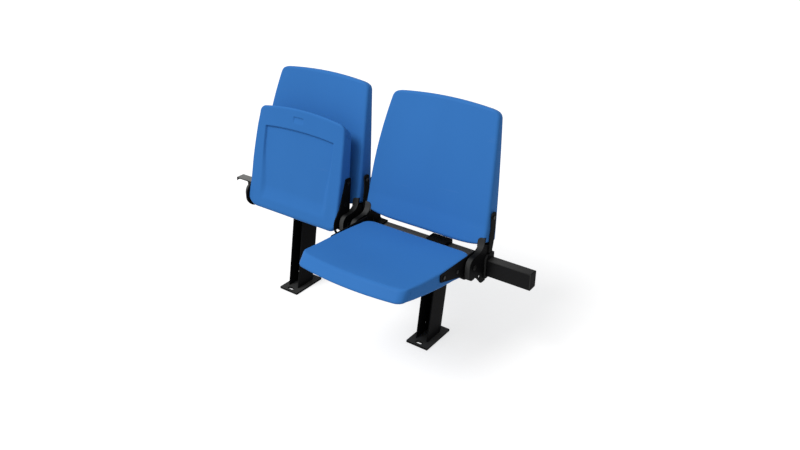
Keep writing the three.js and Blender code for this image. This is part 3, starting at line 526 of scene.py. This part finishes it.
def pan_half_width(reach):
    """Half-width of the pan: straight beside the hinge, tapered ahead of it."""
    run = np.maximum((reach - PAN_TAPER_START) / (PAN_FRONT[0] - PAN_TAPER_START), 0.0)
    return PAN_HALF_WIDTH - (PAN_HALF_WIDTH - PAN_FRONT_HALF_WIDTH) * run


def sunk_panel(across, along):
    """Depth of the sunk panel and the number place, from x and the distance from the heel.

    The panel is a rounded rectangle whose far side bows with the nose and whose depth fades towards
    the heel. The number place is a small plain rectangle that fades the same way.
    """
    bow = PANEL_BOW * (across / PANEL_HALF_WIDTH) ** 2
    middle = (PANEL_LOW + PANEL_HIGH) / 2
    half = (PANEL_HIGH - PANEL_LOW) / 2
    edge = rounded_box_distance(across, along + bow - middle, PANEL_HALF_WIDTH, half, PANEL_CORNER)
    ramp = PANEL_RAMP + PANEL_SPREAD * (1.0 - smooth_step(along, *PANEL_SPREAD_SPAN))
    panel = 1.0 - smooth_step(edge / ramp, -1.0, 0.0)
    fade = smooth_step(along, *PANEL_FADE)
    mark_edge = rounded_box_distance(
        across - MARK_MIDDLE[0], along + bow - MARK_MIDDLE[1], MARK_HALF[0], MARK_HALF[1], MARK_RAMP / 2
    )
    mark = 1.0 - smooth_step(mark_edge, -MARK_RAMP, 0.0)
    mark_fade = smooth_step(along, MARK_MIDDLE[1] - MARK_HALF[1], MARK_MIDDLE[1] + MARK_HALF[1] / 2)
    return PANEL_DEPTH * panel * fade + MARK_DEPTH * mark * mark_fade


def pan_grid(joint, tipped):
    """Pan surface as rows from side to side and points round its profile.

    The profile is carried across the width with rounded rims. The nose bows back towards the sides,
    nose and heel lose quarter circles at the sides, the top is dished and the underside has its sunk
    panel. A tipped pan is turned up about the pivot.
    """
    turn = np.linspace(np.pi / 2, 0.0, ROUND_STEPS + 1)
    middle = np.linspace(-1.0, 1.0, ACROSS_STEPS + 1)[1:-1]
    share = np.concatenate([-np.ones_like(turn), middle, np.ones_like(turn)])[:, None]
    bulge = np.concatenate([-np.sin(turn), middle * 0, np.sin(turn[::-1])])[:, None]
    sink = np.concatenate([1 - np.cos(turn), middle * 0, 1 - np.cos(turn[::-1])])[:, None]
    loop, along = pan_profile()
    reach = loop[:, 0] - along[:, 1] * sink * PAN_EDGE
    rise = loop[:, 1] + along[:, 0] * sink * PAN_EDGE
    width = pan_half_width(reach)
    x = share * (width - PAN_EDGE) + bulge * PAN_EDGE
    across = x / width
    slant = (PAN_NOSE[0] - PAN_FRONT[0]) / (PAN_FRONT[1] - PAN_NOSE[1])
    lead = reach + slant * np.maximum(rise - PAN_NOSE[1], 0.0)
    beside = np.abs(x) - width
    at_nose = smooth_step(lead, PAN_NOSE[0] - PAN_CORNER_RUN, PAN_NOSE[0])
    at_heel = 1.0 - smooth_step(reach, PAN_TAIL[0], PAN_TAIL[0] + PAN_HEEL_RUN)
    nose_loss = corner_loss(np.maximum(beside + PAN_CORNER, 0.0), PAN_CORNER) * at_nose
    heel_loss = corner_loss(np.maximum(beside + PAN_HEEL_CORNER, 0.0), PAN_HEEL_CORNER) * at_heel
    nose = smooth_step(reach, PAN_NOSE[0] / 2, PAN_NOSE[0])
    seat = np.sin(np.pi * np.clip(reach / PAN_FRONT[0], 0.0, 1.0)) ** 2
    top = (along[:, 0] < -LEVEL_LINE) * seat * PAN_DISH * (1 - across**2)
    underside = np.array(PAN_NOSE) - np.array(PAN_HEEL)
    length = np.hypot(*underside)
    from_heel = ((reach - PAN_HEEL[0]) * underside[0] + (rise - PAN_HEEL[1]) * underside[1]) / length
    panel = (along[:, 0] > LEVEL_LINE) * sunk_panel(x, from_heel)
    ahead = reach - PAN_BOW * nose * across**2 - nose_loss + heel_loss
    up = rise - top + panel
    angle = math.radians(TIP_ANGLE if tipped else 0.0)
    y = -(ahead * math.cos(angle) - up * math.sin(angle))
    z = ahead * math.sin(angle) + up * math.cos(angle)
    return np.stack([x, y, z], axis=-1) + np.array(joint["pos_m"])


def make_pan(seat, joint):
    """Blue shell of one pan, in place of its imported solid. It rides on its hinge.

    A hinge that turns towards +X rests with its pan tipped up, and one that turns towards -X with its pan
    down.
    """
    name = f"{seat}_pan"
    grid = pan_grid(joint, tipped=joint["axis"][0] > 0)
    facing_sum = grid.shape[1] - 1 + CURVE_STEPS + 1 - 2 * CURVE_STEPS
    mesh = skin_mesh(f"{name}_shell", grid, facing_sum)
    piece = piece_of(f"{name}_shell", mesh, SHELL, joint["child"])
    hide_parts(name)


for seat, joint in SEATS.items():
    make_backrest(seat, joint)
    make_pan(seat, joint)


# Steelwork and brackets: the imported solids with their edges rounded

EDGE_ANGLE = 32.0
EDGE_SEGMENTS = 3
SAME_POINT = 1e-5
FLAT_ANGLE = 0.6
FAMILIES = {
    "post": (COAT, 0.0010),
    "base_plate": (COAT, 0.0012),
    "beam": (BEAM_COAT, 0.0006),
    "beam_end_cap": (BRACKET, 0.0008),
    "beam_clamp": (CLAMP_COAT, 0.0012),
    "arm": (BRACKET, 0.0016),
    "keeper": (CLAMP_COAT, 0.0012),
    "hinge_plate": (CLAMP_COAT, 0.0009),
    "bush": (NYLON, 0.0004),
    "pivot_pin": (OXIDE, 0.0006),
    "stop_stud": (ZINC, 0.0005),
    "keeper_bolt": (ZINC, 0.0006),
    "clamp_bolt": (ZINC, 0.0006),
    "backrest_screw": (OXIDE, 0.0006),
    "pan_screw": (OXIDE, 0.0006),
}
BODY_OF = {
    node: body for body, nodes in frame["record"]["behaviour"]["bodies"].items() for node in nodes
}


def family_of(node):
    """Family whose name ends the node's name, without a number behind it."""
    plain = node.rstrip("0123456789").rstrip("_")
    return max((family for family in FAMILIES if plain.endswith(family)), key=len, default=None)


def rounded_copy(node, family):
    """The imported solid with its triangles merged, flat faces joined and sharp edges rounded."""
    material, width = FAMILIES[family]
    mesh = frame["nodes"][node].data.copy()
    shape = bmesh.new()
    shape.from_mesh(mesh)
    bmesh.ops.remove_doubles(shape, verts=shape.verts, dist=SAME_POINT)
    flat = math.radians(FLAT_ANGLE)
    bmesh.ops.dissolve_limit(shape, angle_limit=flat, verts=shape.verts, edges=shape.edges)
    shape.to_mesh(mesh)
    shape.free()
    mesh.shade_smooth()
    piece = piece_of(f"{node}_finish", mesh, material, BODY_OF[node])
    edge = piece.modifiers.new("rounded_edges", "BEVEL")
    edge.width = width
    edge.segments = EDGE_SEGMENTS
    edge.limit_method = "ANGLE"
    edge.angle_limit = math.radians(EDGE_ANGLE)
    edge.harden_normals = False
    normals = piece.modifiers.new("flat_faces", "WEIGHTED_NORMAL")
    normals.keep_sharp = True
    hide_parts(node)


for node in sorted(frame["nodes"]):
    family = family_of(node)
    if family:
        rounded_copy(node, family)


# Floor, light and camera

def make_floor():
    """Pale floor: the camera sees it nearly white, and it keeps the object's shadow."""
    mesh = bpy.data.meshes.new("floor")
    far = FLOOR_REACH
    corners = [(-far, -far, 0), (far, -far, 0), (far, far, 0), (-far, far, 0)]
    mesh.from_pydata(corners, [], [(0, 1, 2, 3)])
    floor = bpy.data.objects.new("floor", mesh)
    bpy.context.scene.collection.objects.link(floor)
    recipe = Recipe("pale_floor", Roughness=0.9, Specular_IOR_Level=0.0, Emission_Strength=1.0)
    recipe.shader.inputs["Base Color"].default_value = shade((FLOOR_GREY,) * 3, 1.0)
    seen = recipe.node("ShaderNodeLightPath", output="Is Camera Ray")
    mirrored = recipe.node("ShaderNodeLightPath", output="Is Glossy Ray")
    recipe.feed("Emission Color", (seen + mirrored) * FLOOR_GLOW)
    mesh.materials.append(recipe.material)


def make_world():
    """White to the camera and in reflections, a softer even fill elsewhere."""
    world = bpy.data.worlds.new("studio")
    world.use_nodes = True
    bpy.context.scene.world = world
    tree = world.node_tree
    background = tree.nodes["Background"]
    background.inputs["Color"].default_value = (1.0, 1.0, 1.0, 1.0)
    path = tree.nodes.new("ShaderNodeLightPath")
    shown = path.outputs["Is Camera Ray"]
    for name in ("Is Glossy Ray", "Is Transmission Ray"):
        either = tree.nodes.new("ShaderNodeMath")
        either.operation = "MAXIMUM"
        tree.links.new(shown, either.inputs[0])
        tree.links.new(path.outputs[name], either.inputs[1])
        shown = either.outputs[0]
    level = tree.nodes.new("ShaderNodeMapRange")
    level.inputs["To Min"].default_value = WORLD_FILL
    level.inputs["To Max"].default_value = WORLD_SHOWN
    tree.links.new(shown, level.inputs["Value"])
    tree.links.new(level.outputs[0], background.inputs["Strength"])


def make_light(name, direction, spread, strength):
    """Sun lamp that comes from a direction, wide enough for soft shadows."""
    data = bpy.data.lights.new(name, "SUN")
    data.angle = math.radians(spread)
    data.energy = strength
    light = bpy.data.objects.new(name, data)
    bpy.context.scene.collection.objects.link(light)
    flat = math.hypot(direction[0], direction[1])
    light.rotation_euler = (math.atan2(flat, direction[2]), 0.0, math.atan2(direction[0], -direction[1]))


def make_camera():
    """Camera at the photographer's place, as fitted to the photograph."""
    data = bpy.data.cameras.new("camera")
    data.lens = CAMERA_LENS
    data.sensor_width = CAMERA_SENSOR
    data.sensor_fit = "HORIZONTAL"
    camera = bpy.data.objects.new("camera", data)
    bpy.context.scene.collection.objects.link(camera)
    camera.location = CAMERA_PLACE
    camera.rotation_euler = (math.radians(90.0 - CAMERA_ELEVATION), 0.0, math.radians(CAMERA_AZIMUTH))
    bpy.context.scene.camera = camera


make_camera()
make_floor()
make_world()
make_light("key", KEY_DIRECTION, KEY_SPREAD, KEY_STRENGTH)
bpy.context.scene.view_settings.view_transform = "Standard"
